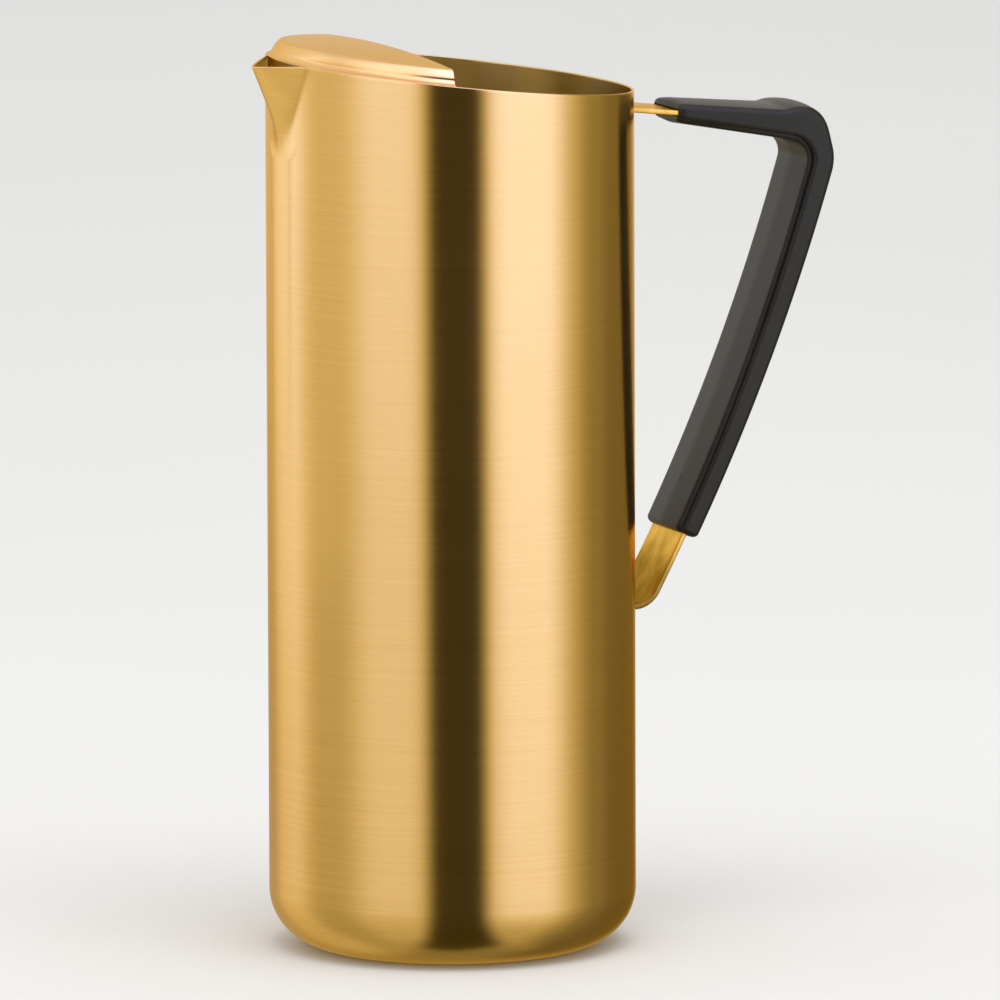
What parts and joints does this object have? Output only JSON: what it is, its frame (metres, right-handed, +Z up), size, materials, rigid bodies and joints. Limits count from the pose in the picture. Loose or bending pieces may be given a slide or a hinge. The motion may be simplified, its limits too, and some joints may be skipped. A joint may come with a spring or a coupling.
{
  "type": "water pitcher",
  "caption": "Tall cylindrical steel water pitcher with a slanted mouth, V-shaped pouring lip, ice guard over the lip, and a strap handle with a black moulded grip.",
  "frame": {"origin": "centre of the flat floor's underside, on the table", "axes": "+Z up along the cylinder's axis, +X towards the handle, -X towards the pouring lip"},
  "size_m": [0.1738, 0.104, 0.2586],
  "materials": {
    "gold_steel": "gold-toned, brushed around the axis",
    "guard_steel": "gold-toned, satin",
    "strap_steel": "gold-toned, brushed along the strap",
    "black_grip": "fine satin moulding"
  },
  "bodies": {
    "root": {"body_tube": "gold_steel", "base_cup": "gold_steel", "ice_guard": "guard_steel", "handle_strap": "strap_steel", "handle_grip": "black_grip"}
  },
  "joints": []
}
